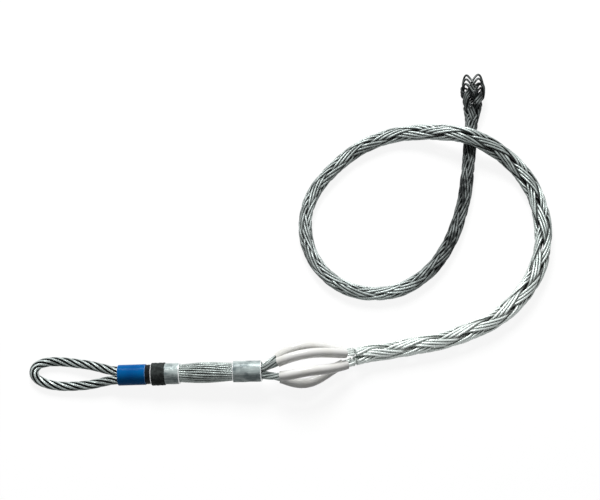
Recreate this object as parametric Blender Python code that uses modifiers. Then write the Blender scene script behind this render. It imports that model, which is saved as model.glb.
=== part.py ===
"""Cable pulling grip with a wire rope eye, laid in an open coil on a floor.

Metres, +Z up, the floor at z = 0. The eye lies at -X. From it a straight head runs
towards +X: colour sleeve, neck wrap, taped front ferrule, strand bundle and rear ferrule.
Behind the rear ferrule the strands part into four sleeved legs, which bow out as a basket
and then weave into a tubular mesh of four right-hand and four left-hand bands. The mesh
turns once anticlockwise, passes over its own tail and ends in an open mouth.
"""

import math

import bmesh
import bpy
from mathutils import Matrix, Vector

# Gap that meeting faces keep, the smaller one round a piece in its bore, and facets
SEAT_GAP = 0.0003
FIT_GAP = 0.00015
ROUND_SIDES = 16
LEG_SIDES = 8

# Eye rope: six strands laid around a core, and the rope's length either side of its far end
# that takes the tight bend
ROPE_STRANDS = 6
ROPE_STRAND_RADIUS = 0.00136
ROPE_LAY_RADIUS = 0.00325
ROPE_LAY = 0.064
ROPE_CORE_GAP = 0.0005
EYE_TURN_REACH = 0.024
# Half of the eye seen from above: distance from the sleeve's mouth, half the spread.
# The eye is bent sideways, its far end by the sway.
EYE_OUTLINE = [
    (0.005, 0.0050), (0.012, 0.0064), (0.020, 0.0086), (0.031, 0.0110), (0.044, 0.0125),
    (0.055, 0.0133), (0.0635, 0.0131), (0.071, 0.0121), (0.077, 0.0102), (0.0815, 0.0077),
    (0.0845, 0.0042), (0.0855, 0.0),
]
EYE_SWAY = 0.0068

# Pieces fitted on the head, with lengths along its axis
COLOUR_SLEEVE_LENGTH = 0.0275
COLOUR_SLEEVE_WALL = 0.0006
COLOUR_SLEEVE_CHAMFER = 0.0003
NECK_WRAP_LENGTH = 0.0045
NECK_WRAP_WALL = 0.0007
NECK_WRAP_WAIST = 0.0003
FERRULE_LENGTH = 0.0290
FERRULE_WALL = 0.0014
FERRULE_CHAMFER = 0.0007
TAPE_LENGTH = 0.0135
TAPE_WALL = 0.0008
TAPE_SETBACK = 0.0009
BUNDLE_LENGTH = 0.0525
BUNDLE_SWELL = 0.0016
BUNDLE_TURN = math.radians(38)
HEAD_TILT = math.radians(4.1)

# Mesh strands, and the four legs that they form
STRAND_RADIUS = 0.00118
BAND_STRANDS = 3
BANDS = 4
LEG_LAY = 0.080
LEG_BOWS = [0.0175, 0.0175, 0.0175, 0.0200]
LEG_BOW_EARLINESS = 0.885
LEG_BOW_SHARPNESS = 1.6
LEG_ANGLES = [math.radians(angle) for angle in (23, 81, 140, 223)]
LEG_END_TURN = math.radians(-9)
LEG_SLEEVE_WALL = 0.0006
LEG_SLEEVE_GAP = 0.0004
LEG_SLEEVE_START = 0.0125
LEG_SLEEVE_SETBACK = 0.0065
LEG_RINGS = 7

# Woven mesh: radius over the crests, rows of crossings and depth of the weave
MESH_HEAD_RADIUS = 0.0093
MESH_TAIL_RADIUS = 0.0072
MESH_MOUTH_RADIUS = 0.0138
MESH_TAPER_START = 0.36
MESH_TAPER_END = 0.64
MESH_WALL = 0.0034
WEAVE_RELIEF = 0.0015
EDGE_RELIEF = 0.0011
ROW_PITCH = 0.0275
MOUTH_LENGTH = 0.062
MOUTH_ROWS = 4
DENSE_ROWS = range(25, 37)
JOIN_ROW = 19
CROSSING_CLEARANCE = 0.0006

# Route of the basket and the mesh, chosen by hand: x, y and the share of the crossing's lift
EXIT_PLACE = (-0.0347, -0.1747)
BASKET_PLACE = (0.0034, -0.1684)
BASKET_LIFT = 0.0032
ROUTE = [
    (0.0574, -0.1551, 0.22), (0.0734, -0.1498, 0.04), (0.0989, -0.1454, 0.0),
    (0.1241, -0.1404, 0.0), (0.1499, -0.1342, 0.0), (0.1752, -0.1248, 0.0),
    (0.2010, -0.1111, 0.0), (0.2215, -0.0937, 0.0), (0.2385, -0.0717, 0.0),
    (0.2507, -0.0467, 0.0), (0.2573, -0.0183, 0.0), (0.2579, 0.0119, 0.0),
    (0.2507, 0.0449, 0.02), (0.2345, 0.0731, 0.16), (0.2101, 0.0922, 0.62),
    (0.1846, 0.1032, 1.0), (0.1553, 0.1120, 0.62), (0.1286, 0.1166, 0.16),
    (0.1021, 0.1137, 0.02), (0.0759, 0.1027, 0.0), (0.0550, 0.0876, 0.0),
    (0.0340, 0.0655, 0.0), (0.0186, 0.0428, 0.0), (0.0098, 0.0169, 0.0),
    (0.0090, -0.0108, 0.0), (0.0147, -0.0343, 0.0), (0.0265, -0.0547, 0.0),
    (0.0441, -0.0709, 0.0), (0.0648, -0.0794, 0.0), (0.0851, -0.0807, 0.0),
    (0.1050, -0.0766, 0.0), (0.1240, -0.0656, 0.0), (0.1414, -0.0493, 0.0),
    (0.1561, -0.0268, 0.0), (0.1675, -0.0012, 0.0), (0.1775, 0.0327, 0.0),
    (0.1829, 0.0643, 0.0), (0.1863, 0.0900, 0.0), (0.1889, 0.1135, 0.0),
    (0.1916, 0.1354, 0.0), (0.1931, 0.1528, 0.0), (0.1942, 0.1711, 0.0),
    (0.1954, 0.1903, 0.0),
]

# Sizes that follow from the ones above
FACET = 1 / math.cos(math.pi / ROUND_SIDES)
LEG_FACET = 1 / math.cos(math.pi / LEG_SIDES)
ROPE_RADIUS = ROPE_LAY_RADIUS + ROPE_STRAND_RADIUS
ROPE_CORE_RADIUS = ROPE_LAY_RADIUS - ROPE_STRAND_RADIUS - ROPE_CORE_GAP
ROPE_OFFSET = ROPE_RADIUS + SEAT_GAP / 2
COLOUR_SLEEVE_BORE = (ROPE_OFFSET + ROPE_RADIUS + FIT_GAP) * FACET
COLOUR_SLEEVE_RADIUS = COLOUR_SLEEVE_BORE + COLOUR_SLEEVE_WALL
LEG_LAY_RADIUS = 2 * STRAND_RADIUS
LEG_RADIUS = LEG_LAY_RADIUS + STRAND_RADIUS
LEG_SLEEVE_RADIUS = (LEG_RADIUS + LEG_SLEEVE_GAP) * LEG_FACET + LEG_SLEEVE_WALL
LEG_NEST_RADIUS = math.sqrt(2) * (LEG_RADIUS + FIT_GAP)
PRESSED_RADIUS = LEG_NEST_RADIUS + LEG_RADIUS
FERRULE_BORE = (PRESSED_RADIUS + FIT_GAP) * FACET
FERRULE_RADIUS = FERRULE_BORE + FERRULE_WALL
PRESSED_SHARE = PRESSED_RADIUS / (ROPE_OFFSET + ROPE_RADIUS)
CROSSING_LIFT = 2 * MESH_TAIL_RADIUS + CROSSING_CLEARANCE

# Stations along the head, measured back from the rear ferrule's exit
REAR_FERRULE_AT = FERRULE_LENGTH / 2
BUNDLE_END = FERRULE_LENGTH + BUNDLE_LENGTH
FRONT_FERRULE_AT = BUNDLE_END + FERRULE_LENGTH / 2
FRONT_FERRULE_END = BUNDLE_END + FERRULE_LENGTH
TAPE_AT = FRONT_FERRULE_END - TAPE_SETBACK - TAPE_LENGTH / 2
NECK_WRAP_AT = FRONT_FERRULE_END + SEAT_GAP + NECK_WRAP_LENGTH / 2
NECK_WRAP_END = NECK_WRAP_AT + NECK_WRAP_LENGTH / 2
COLOUR_SLEEVE_AT = NECK_WRAP_END + SEAT_GAP + COLOUR_SLEEVE_LENGTH / 2
HEAD_LENGTH = COLOUR_SLEEVE_AT + COLOUR_SLEEVE_LENGTH / 2

for old in list(bpy.data.objects):
    bpy.data.objects.remove(old, do_unlink=True)

grip = bpy.data.collections.new("cable_pulling_grip")
bpy.context.scene.collection.children.link(grip)


def make_material(name, colour, roughness, metallic):
    """Plain Principled material."""
    made = bpy.data.materials.new(name)
    made.use_nodes = True
    shader = made.node_tree.nodes["Principled BSDF"]
    shader.inputs["Base Color"].default_value = (*colour, 1.0)
    shader.inputs["Roughness"].default_value = roughness
    shader.inputs["Metallic"].default_value = metallic
    made.diffuse_color = (*colour, 1.0)
    return made


ROPE_STEEL = make_material("rope_steel", (0.66, 0.67, 0.65), 0.32, 1.0)
STRAND_STEEL = make_material("strand_steel", (0.62, 0.63, 0.61), 0.34, 1.0)
FERRULE_STEEL = make_material("ferrule_steel", (0.50, 0.55, 0.58), 0.35, 1.0)
BLUE_PLASTIC = make_material("blue_plastic", (0.01, 0.17, 0.60), 0.22, 0.0)
BLACK_PLASTIC = make_material("black_plastic", (0.012, 0.012, 0.014), 0.45, 0.0)
CLOTH_TAPE = make_material("cloth_tape", (0.030, 0.032, 0.032), 0.80, 0.0)
CLEAR_SLEEVE = make_material("clear_sleeve", (0.86, 0.86, 0.82), 0.25, 0.0)


def smoothstep(low, high, value):
    """0 below low, 1 above high, and a smooth ramp between them."""
    t = min(1.0, max(0.0, (value - low) / (high - low)))
    return t * t * (3 - 2 * t)


def spread(start, end, count):
    """Evenly spaced stations, both ends included."""
    return [start + (end - start) * i / (count - 1) for i in range(count)]


class Path:
    """Smooth curve through points, with a frame carried along it without twist."""

    def __init__(self, points, first_normal, step=0.0015):
        points = [Vector(point) for point in points]
        padded = [2 * points[0] - points[1], *points, 2 * points[-1] - points[-2]]
        self.points = []
        for a, b, c, d in zip(padded, padded[1:], padded[2:], padded[3:]):
            count = max(2, int((c - b).length / step))
            for t in (i / count for i in range(count)):
                bend = (2 * a - 5 * b + 4 * c - d) * t * t + (3 * b - a - 3 * c + d) * t ** 3
                self.points.append(0.5 * (2 * b + (c - a) * t + bend))
        self.points.append(points[-1])
        self.along = [0.0]
        for a, b in zip(self.points, self.points[1:]):
            self.along.append(self.along[-1] + (b - a).length)
        self.length = self.along[-1]
        last = len(self.points) - 1
        self.tangents = [
            (self.points[min(last, i + 1)] - self.points[max(0, i - 1)]).normalized()
            for i in range(last + 1)
        ]
        normal = Vector(first_normal)
        self.normals = []
        for tangent in self.tangents:
            normal = (normal - tangent * normal.dot(tangent)).normalized()
            self.normals.append(normal)

    def frame(self, station):
        """Point, normal and binormal at a distance from the start."""
        station = min(self.length, max(0.0, station))
        low, high = 0, len(self.along) - 1
        while high - low > 1:
            middle = (low + high) // 2
            if self.along[middle] <= station:
                low = middle
            else:
                high = middle
        t = (station - self.along[low]) / (self.along[high] - self.along[low])
        tangent = self.tangents[low].lerp(self.tangents[high], t).normalized()
        normal = self.normals[low].lerp(self.normals[high], t)
        normal = (normal - tangent * normal.dot(tangent)).normalized()
        return self.points[low].lerp(self.points[high], t), normal, tangent.cross(normal)

    def around(self, station, radius, angle):
        """Point at a radius from the curve, at an angle from its normal."""
        point, normal, binormal = self.frame(station)
        return point + radius * (math.cos(angle) * normal + math.sin(angle) * binormal)


def add_object(name, data, finish):
    """New object of the grip."""
    made = bpy.data.objects.new(name, data)
    data.materials.append(finish)
    grip.objects.link(made)
    return made


def add_mesh(name, work, finish, sharp_angle):
    """New mesh object from a bmesh, with its faces turned outwards."""
    bmesh.ops.recalc_face_normals(work, faces=work.faces)
    data = bpy.data.meshes.new(name)
    work.to_mesh(data)
    work.free()
    data.shade_smooth()
    data.set_sharp_from_angle(angle=math.radians(sharp_angle))
    return add_object(name, data, finish)


def add_turned(name, profile, station, finish):
    """Ring turned about the head's axis from a closed profile of (radius, height)."""
    data = bpy.data.meshes.new(name)
    corners = [(radius, 0.0, height) for radius, height in profile]
    sides = [(i, (i + 1) % len(profile)) for i in range(len(profile))]
    data.from_pydata(corners, sides, [])
    made = add_object(name, data, finish)
    screw = made.modifiers.new("turn", "SCREW")
    screw.axis = "Z"
    screw.steps = ROUND_SIDES
    screw.render_steps = ROUND_SIDES
    screw.use_merge_vertices = True
    screw.merge_threshold = 0.00002
    made.parent = head_axis
    made.location = (0.0, 0.0, station)
    return made


def add_wire(name, points, scales, radius, resolution, caps, finish):
    """Round wire or tube along given points, its radius scaled at each of them."""
    data = bpy.data.curves.new(name, "CURVE")
    data.dimensions = "3D"
    data.bevel_depth = radius
    data.bevel_resolution = resolution
    data.use_fill_caps = caps
    spline = data.splines.new("POLY")
    spline.points.add(len(points) - 1)
    for slot, point, scale in zip(spline.points, points, scales):
        slot.co = (*point, 1.0)
        slot.radius = scale
    return add_object(name, data, finish)


def add_laid(name, path, stations, lobes, radius_at, turn_at, finish):
    """Solid of strands laid side by side: a grooved section carried along a path."""
    strand_share = math.sin(math.pi / lobes) / (1 + math.sin(math.pi / lobes))
    groove = 0.8 * strand_share
    work = bmesh.new()
    rings = []
    for station in stations:
        crest = radius_at(station)
        reaches = [crest, crest * (1 - groove)] * lobes
        ring = [
            work.verts.new(path.around(station, reach, turn_at(station) + math.pi * i / lobes))
            for i, reach in enumerate(reaches)
        ]
        rings.append(ring)
    for low, high in zip(rings, rings[1:]):
        for i in range(len(low)):
            j = (i + 1) % len(low)
            work.faces.new((low[i], low[j], high[j], high[i]))
    work.faces.new(rings[0][::-1])
    work.faces.new(rings[-1])
    return add_mesh(name, work, finish, sharp_angle=75)


# The head's axis starts at the rear ferrule's exit and points back to the eye.
# It is as high as lets the colour sleeve's far rim touch the floor.
exit_height = COLOUR_SLEEVE_RADIUS * math.cos(HEAD_TILT) + HEAD_LENGTH * math.sin(HEAD_TILT)
head_start = Vector((*EXIT_PLACE, exit_height))
head_direction = Vector((-math.cos(HEAD_TILT), 0.0, -math.sin(HEAD_TILT)))
head_side = Vector((0.0, 1.0, 0.0))
head_axis = bpy.data.objects.new("head_axis", None)
grip.objects.link(head_axis)
head_turn = head_direction.to_track_quat("Z", "Y").to_matrix().to_4x4()
head_axis.matrix_world = Matrix.Translation(head_start) @ head_turn


def head_point(station, aside=0.0):
    """Point on the head's axis, or beside it."""
    return head_start + station * head_direction + aside * head_side


def tube_profile(bore, radius, length, chamfer):
    """Closed profile of a plain tube with chamfered outer rims."""
    half = length / 2
    return [
        (radius - chamfer, half), (radius, half - chamfer),
        (radius, chamfer - half), (radius - chamfer, -half),
        (bore, -half), (bore, half),
    ]


def rope_share(station):
    """Size of the eye rope beside its free size: pressed in the ferrule, free in the sleeve."""
    free_from = NECK_WRAP_END + COLOUR_SLEEVE_LENGTH / 3
    return PRESSED_SHARE + (1 - PRESSED_SHARE) * smoothstep(NECK_WRAP_END, free_from, station)


def make_eye_path():
    """Centreline of the eye rope, from the front ferrule round the eye and back."""
    pressed_end = FRONT_FERRULE_AT + SEAT_GAP / 2
    stations = [pressed_end, *spread(FRONT_FERRULE_END, HEAD_LENGTH, 8)]
    mouth = head_point(HEAD_LENGTH)
    reach = EYE_OUTLINE[-1][0]

    def leg_point(station, side):
        return head_point(station, side * ROPE_OFFSET * rope_share(station))

    def eye_point(distance, aside):
        drop = smoothstep(-0.15 * reach, 0.75 * reach, distance)
        height = mouth.z + (ROPE_RADIUS - mouth.z) * drop
        sway = EYE_SWAY * (distance / reach) ** 1.3
        return Vector((mouth.x - distance, mouth.y + sway + aside, height))

    there = [leg_point(station, 1) for station in stations]
    there += [eye_point(distance, aside) for distance, aside in EYE_OUTLINE]
    back = [eye_point(distance, -aside) for distance, aside in EYE_OUTLINE[-2::-1]]
    back += [leg_point(station, -1) for station in reversed(stations)]
    return Path(there + back, head_side), HEAD_LENGTH - pressed_end


def make_eye_rope():
    """Six strands and a core, each a wire of its own."""
    path, leg_length = make_eye_path()
    middle = path.length / 2
    half = [
        *spread(0.0, leg_length, 6)[:-1],
        *spread(leg_length, middle - EYE_TURN_REACH, 10)[:-1],
        *spread(middle - EYE_TURN_REACH, middle, 8),
    ]
    stations = half + [path.length - station for station in half[-2::-1]]
    shares = [
        rope_share(HEAD_LENGTH + min(station, path.length - station) - leg_length)
        for station in stations
    ]
    core = [path.frame(station)[0] for station in stations]
    add_wire("eye_rope_core", core, shares, ROPE_CORE_RADIUS, 0, True, ROPE_STEEL)
    for k in range(ROPE_STRANDS):
        points = []
        for station, share in zip(stations, shares):
            angle = math.tau * ((station - middle) / ROPE_LAY + k / ROPE_STRANDS)
            points.append(path.around(station, ROPE_LAY_RADIUS * share, angle))
        name = f"eye_strand_{k + 1}"
        add_wire(name, points, shares, ROPE_STRAND_RADIUS, 1, True, ROPE_STEEL)


def make_head_fittings():
    """Colour sleeve, neck wrap, tape and the two pressed ferrules."""
    sleeve = tube_profile(
        COLOUR_SLEEVE_BORE, COLOUR_SLEEVE_RADIUS, COLOUR_SLEEVE_LENGTH, COLOUR_SLEEVE_CHAMFER
    )
    add_turned("colour_sleeve", sleeve, COLOUR_SLEEVE_AT, BLUE_PLASTIC)

    half = NECK_WRAP_LENGTH / 2
    radius = FERRULE_BORE + NECK_WRAP_WALL
    neck = [
        (radius, half), (radius - NECK_WRAP_WAIST, 0.0), (radius, -half),
        (FERRULE_BORE, -half), (FERRULE_BORE, half),
    ]
    add_turned("neck_wrap", neck, NECK_WRAP_AT, BLACK_PLASTIC)

    ferrule = tube_profile(FERRULE_BORE, FERRULE_RADIUS, FERRULE_LENGTH, FERRULE_CHAMFER)
    add_turned("front_ferrule", ferrule, FRONT_FERRULE_AT, FERRULE_STEEL)
    add_turned("rear_ferrule", ferrule, REAR_FERRULE_AT, FERRULE_STEEL)

    half = TAPE_LENGTH / 2
    bore = FERRULE_RADIUS + FIT_GAP
    tape = [
        (bore + TAPE_WALL / 2, half), (bore + TAPE_WALL, half / 2),
        (bore + TAPE_WALL, -half / 2), (bore + TAPE_WALL / 2, -half),
        (bore, -half), (bore, half),
    ]
    add_turned("tape_wrap", tape, TAPE_AT, CLOTH_TAPE)


def make_strand_bundle():
    """The mesh's strands between the ferrules, pressed at both ends and swelling between."""
    start = REAR_FERRULE_AT + SEAT_GAP / 2
    end = FRONT_FERRULE_AT - SEAT_GAP / 2
    line = Path([head_point(station) for station in spread(start, end, 4)], head_side)

    def radius_at(station):
        free = (start + station - FERRULE_LENGTH) / BUNDLE_LENGTH
        swell = math.sin(math.pi * free) if 0 < free < 1 else 0.0
        return PRESSED_RADIUS + BUNDLE_SWELL * swell

    stations = [
        0.0, *spread(FERRULE_LENGTH - start, BUNDLE_END - start, 5), end - start
    ]
    add_laid(
        "strand_bundle", line, stations, 2 * BAND_STRANDS * BANDS, radius_at,
        lambda station: BUNDLE_TURN * station / line.length, STRAND_STEEL
    )


def mesh_radius(distance, length):
    """Radius over the mesh's crests, at a distance from its start."""
    taper = smoothstep(MESH_TAPER_START, MESH_TAPER_END, distance)
    radius = MESH_HEAD_RADIUS + (MESH_TAIL_RADIUS - MESH_HEAD_RADIUS) * taper
    into_mouth = (distance - (length - MOUTH_LENGTH)) / MOUTH_LENGTH
    opening = smoothstep(0.0, 0.7, into_mouth) - 0.15 * smoothstep(0.7, 1.0, into_mouth)
    return radius + (MESH_MOUTH_RADIUS - MESH_TAIL_RADIUS) * opening


def make_spine():
    """Centreline from inside the rear ferrule through the basket to the mouth."""
    reaches = [0.0]
    for a, b in zip(ROUTE, ROUTE[1:]):
        reaches.append(reaches[-1] + math.dist(a[:2], b[:2]))
    route = [
        Vector((x, y, mesh_radius(reach, reaches[-1]) + lift * CROSSING_LIFT))
        for (x, y, lift), reach in zip(ROUTE, reaches)
    ]
    droop = max(-bow * math.sin(angle) for bow, angle in zip(LEG_BOWS, LEG_ANGLES))
    basket = Vector((*BASKET_PLACE, droop + LEG_SLEEVE_RADIUS + BASKET_LIFT))
    first = REAR_FERRULE_AT - SEAT_GAP / 2
    inside = [head_point(station) for station in (first, first / 2, 0.0, -first / 3)]
    spine = Path([*inside, basket, *route], head_side)
    start = min(
        spread(0.0, spine.length / 4, 2000),
        key=lambda station: (spine.frame(station)[0] - route[0]).length,
    )
    return spine, first, start


def make_legs(spine, leave, mesh_start):
    """Four legs of six strands each, from the rear ferrule to the mesh, in clear sleeves."""
    end = mesh_start - SEAT_GAP
    wall_middle = mesh_radius(0.0, spine.length) - MESH_WALL / 2

    def reach(station, k):
        share = min(1.0, max(0.0, (station - leave) / (end - leave)))
        bow = math.sin(math.pi * share ** LEG_BOW_EARLINESS) ** LEG_BOW_SHARPNESS
        base = LEG_NEST_RADIUS + (wall_middle - LEG_NEST_RADIUS) * share
        even = LEG_END_TURN + math.tau * k / BANDS
        angle = even + (LEG_ANGLES[k] - even) * bow
        return spine.around(station, base + (LEG_BOWS[k] - base) * bow, angle)

    sleeve_start = leave + LEG_SLEEVE_START
    sleeve_end = end - LEG_SLEEVE_SETBACK
    stations = [
        0.0, leave, (leave + sleeve_start) / 2, *spread(sleeve_start, sleeve_end, LEG_RINGS), end
    ]
    for k in range(BANDS):
        points = [reach(station, k) for station in spread(0.0, end, 60)]
        path = Path(points, head_side)
        share = path.length / end
        marks = [station_on(path, spine, reach, station, k, share) for station in stations]
        add_laid(
            f"leg_strands_{k + 1}", path, marks, 2 * BAND_STRANDS, lambda station: LEG_RADIUS,
            lambda station: math.tau * station / LEG_LAY, STRAND_STEEL
        )
        inner = [path.frame(mark)[0] for mark in marks[3:-1]]
        sleeve = add_wire(
            f"leg_sleeve_{k + 1}", inner, [1.0] * len(inner), LEG_SLEEVE_RADIUS,
            LEG_SIDES // 2 - 2, False, CLEAR_SLEEVE
        )
        wall = sleeve.modifiers.new("wall", "SOLIDIFY")
        wall.thickness = LEG_SLEEVE_WALL
        wall.offset = -1.0
        wall.use_even_offset = True


def station_on(path, spine, reach, station, k, share):
    """Distance along a leg's own path of the point that belongs to a station of the spine."""
    wanted = reach(station, k)
    guesses = [station * share + offset for offset in spread(-0.012, 0.012, 97)]
    return min(guesses, key=lambda guess: (path.frame(guess)[0] - wanted).length)


class Weave:
    """Woven wall between two rows of crossings, the bands meeting at each crossing."""

    def __init__(self, first_row, last_row, station_of, radius_of, spine, last_of_all):
        self.first_row = first_row
        self.last_row = last_row
        self.station_of = station_of
        self.radius_of = radius_of
        self.spine = spine
        self.open_end = last_row == last_of_all
        self.work = bmesh.new()
        self.corners = {}

    def band_share(self, row):
        """Width of a band beside the distance between bands."""
        station = self.station_of(row)
        middle = self.radius_of(station) - MESH_WALL / 2
        across = math.tau * middle / BANDS
        lengthwise = 2 * (self.station_of(row + 0.5) - self.station_of(row - 0.5))
        slant = math.atan2(across, lengthwise)
        return min(0.88, 2 * BAND_STRANDS * STRAND_RADIUS / (across * math.cos(slant)))

    def corner(self, row, i, a, b, layer):
        """Vertex of crossing i of a row: a and b are -1, 0 or 1 across its two bands."""
        key = (row, i % BANDS, a, b, layer)
        if key in self.corners:
            return self.corners[key]
        half = self.band_share(row) / 2
        level = row + (a - b) * half
        if self.open_end and level > self.last_row + 0.7 * 2 * half:
            level = self.last_row + 0.7 * 2 * half
        angle = LEG_END_TURN + math.pi * (2 * i - row + (a + b) * half) / BANDS
        station = self.station_of(level)
        start = self.station_of(self.first_row)
        end = self.station_of(self.last_row)
        if self.first_row > 0:
            start += SEAT_GAP / 2
        station = max(station, start)
        if not self.open_end:
            station = min(station, end - SEAT_GAP / 2)
        crest = self.radius_of(station)
        if layer == "inner":
            radius = crest - MESH_WALL
        elif a and b:
            radius = crest - EDGE_RELIEF
        elif a == b == 0:
            radius = crest
        else:
            on_first_band = a == 0
            first_over = row % 2 == 0
            radius = crest if on_first_band == first_over else crest - WEAVE_RELIEF
        made = self.work.verts.new(self.spine.around(station, radius, angle))
        self.corners[key] = made
        return made

    def face(self, places, layer):
        """Face through corners given as (row, i, a, b)."""
        self.work.faces.new([self.corner(*place, layer) for place in places])

    def rim(self, *places):
        """Face between the outer and the inner wall along an edge of the outer one."""
        outer = [self.corner(*place, "outer") for place in places]
        ends = (places[-1], places[0])
        self.work.faces.new(outer + [self.corner(*place, "inner") for place in ends])

    def crossing(self, row, i):
        """Faces where two bands cross, halved at a cut row."""
        outer_quads = [(-1, -1), (0, -1), (0, 0), (-1, 0)]
        for a, b in outer_quads:
            ring = [(a, b), (a + 1, b), (a + 1, b + 1), (a, b + 1)]
            ring = [(x, y) for x, y in ring if self.keeps(row, x - y)]
            if len(ring) >= 3:
                self.face([(row, i, x, y) for x, y in ring], "outer")
        ring = [(-1, -1), (1, -1), (1, 1), (-1, 1)]
        ring = [(x, y) for x, y in ring if self.keeps(row, x - y)]
        self.face([(row, i, x, y) for x, y in ring], "inner")
        if self.is_cut(row):
            self.rim((row, i, -1, -1), (row, i, 0, 0), (row, i, 1, 1))
        elif row == self.last_row:
            self.rim((row, i, -1, -1), (row, i, 0, -1), (row, i, 1, -1))
            self.rim((row, i, 1, -1), (row, i, 1, 0), (row, i, 1, 1))

    def is_cut(self, row):
        """Whether the wall is cut straight across this row."""
        return row == self.first_row or (row == self.last_row and not self.open_end)

    def keeps(self, row, side):
        """Whether a corner on this side of its row's middle lies within the wall."""
        if row == self.first_row:
            return side >= 0
        if row == self.last_row and not self.open_end:
            return side <= 0
        return True

    def stretch(self, row, i):
        """Both bands between a row and the next, from crossing i of the row."""
        following = row + 1
        for a in (-1, 0):
            self.face([(following, i, a, 1), (following, i, a + 1, 1),
                       (row, i, a + 1, -1), (row, i, a, -1)], "outer")
            self.face([(row, i, 1, a), (row, i, 1, a + 1),
                       (following, i + 1, -1, a + 1), (following, i + 1, -1, a)], "outer")
        self.face([(following, i, -1, 1), (following, i, 1, 1),
                   (row, i, 1, -1), (row, i, -1, -1)], "inner")
        self.face([(row, i, 1, -1), (row, i, 1, 1),
                   (following, i + 1, -1, 1), (following, i + 1, -1, -1)], "inner")
        if following not in DENSE_ROWS:
            self.rim((following, i, 1, 1), (row, i, 1, -1))
            self.rim((row, i, 1, -1), (following, i + 1, -1, -1))
        if row not in DENSE_ROWS:
            self.rim((following, i, -1, 1), (row, i, -1, -1))
            self.rim((row, i, 1, 1), (following, i + 1, -1, 1))

    def closed_gap(self, row, i):
        """Bands packed so close that only a groove is left between them."""
        ring = [(row, i, 1, 1), (row + 1, i + 1, -1, 1),
                (row, i + 1, -1, -1), (row - 1, i, 1, -1)]
        self.face(ring, "outer")
        self.face(ring, "inner")

    def build(self, name):
        """Whole wall as one object."""
        for i in range(BANDS):
            for row in range(self.first_row, self.last_row + 1):
                self.crossing(row, i)
                if row < self.last_row:
                    self.stretch(row, i)
                if self.first_row < row < self.last_row and row in DENSE_ROWS:
                    self.closed_gap(row, i)
        return add_mesh(name, self.work, STRAND_STEEL, sharp_angle=60)


def make_mesh(spine, mesh_start):
    """Tubular mesh in three lengths that meet face to face."""
    length = spine.length - mesh_start
    main_rows = round((length - MOUTH_LENGTH) / ROW_PITCH)
    pitch = (length - MOUTH_LENGTH) / main_rows
    mouth_pitch = MOUTH_LENGTH / (MOUTH_ROWS + 0.5)

    def station_of(row):
        beyond = max(0.0, row - main_rows)
        return mesh_start + pitch * min(row, main_rows) + mouth_pitch * beyond

    def radius_of(station):
        return mesh_radius(station - mesh_start, length)

    rows = [0, JOIN_ROW, main_rows, main_rows + MOUTH_ROWS]
    names = ["mesh_front", "mesh_back", "mesh_mouth"]
    for name, first_row, last_row in zip(names, rows, rows[1:]):
        Weave(first_row, last_row, station_of, radius_of, spine, rows[-1]).build(name)


make_eye_rope()
make_head_fittings()
make_strand_bundle()
spine, leave, mesh_start = make_spine()
make_legs(spine, leave, mesh_start)
make_mesh(spine, mesh_start)
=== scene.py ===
"""Looks of a cable pulling grip: a wire rope eye, its pressed head, four sleeved legs and a
long woven mesh, laid in an open coil on a white floor. Metres, +Z up, the floor at z = 0."""

import math

import bpy
import numpy as np
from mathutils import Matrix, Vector


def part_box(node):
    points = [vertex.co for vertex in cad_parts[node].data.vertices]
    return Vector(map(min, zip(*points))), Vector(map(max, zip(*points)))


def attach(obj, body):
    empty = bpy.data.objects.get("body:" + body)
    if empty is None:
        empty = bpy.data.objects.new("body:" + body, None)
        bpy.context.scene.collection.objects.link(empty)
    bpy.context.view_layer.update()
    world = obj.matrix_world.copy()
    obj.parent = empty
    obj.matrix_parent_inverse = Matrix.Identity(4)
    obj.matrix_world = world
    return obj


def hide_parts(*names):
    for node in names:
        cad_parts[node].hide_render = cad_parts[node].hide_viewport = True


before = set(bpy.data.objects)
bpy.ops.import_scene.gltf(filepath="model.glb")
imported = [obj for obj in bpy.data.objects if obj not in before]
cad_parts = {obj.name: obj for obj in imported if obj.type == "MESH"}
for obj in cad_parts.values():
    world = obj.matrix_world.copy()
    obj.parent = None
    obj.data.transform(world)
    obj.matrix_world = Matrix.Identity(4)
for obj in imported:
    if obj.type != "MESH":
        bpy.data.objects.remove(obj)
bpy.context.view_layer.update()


# Camera: a long lens looks down from the near side, steeply, so that the coil lies open and the
# head runs level across the picture.
VIEW_TARGET = Vector((0.0029, -0.0249, 0.0))
VIEW_DISTANCE = 1.575
VIEW_ELEVATION = math.radians(60)
LENS_LENGTH = 90
PICTURE_WIDTH = 36

lens = bpy.data.cameras.new("camera")
lens.lens = LENS_LENGTH
lens.sensor_fit = "HORIZONTAL"
lens.sensor_width = PICTURE_WIDTH
camera = bpy.data.objects.new("camera", lens)
camera.rotation_mode = "QUATERNION"
towards_camera = Vector((0.0, -math.cos(VIEW_ELEVATION), math.sin(VIEW_ELEVATION)))
camera.location = VIEW_TARGET + VIEW_DISTANCE * towards_camera
camera.rotation_quaternion = (-towards_camera).to_track_quat("-Z", "Y")
bpy.context.scene.collection.objects.link(camera)
bpy.context.scene.camera = camera
bpy.context.scene.view_settings.view_transform = "Standard"


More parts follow.
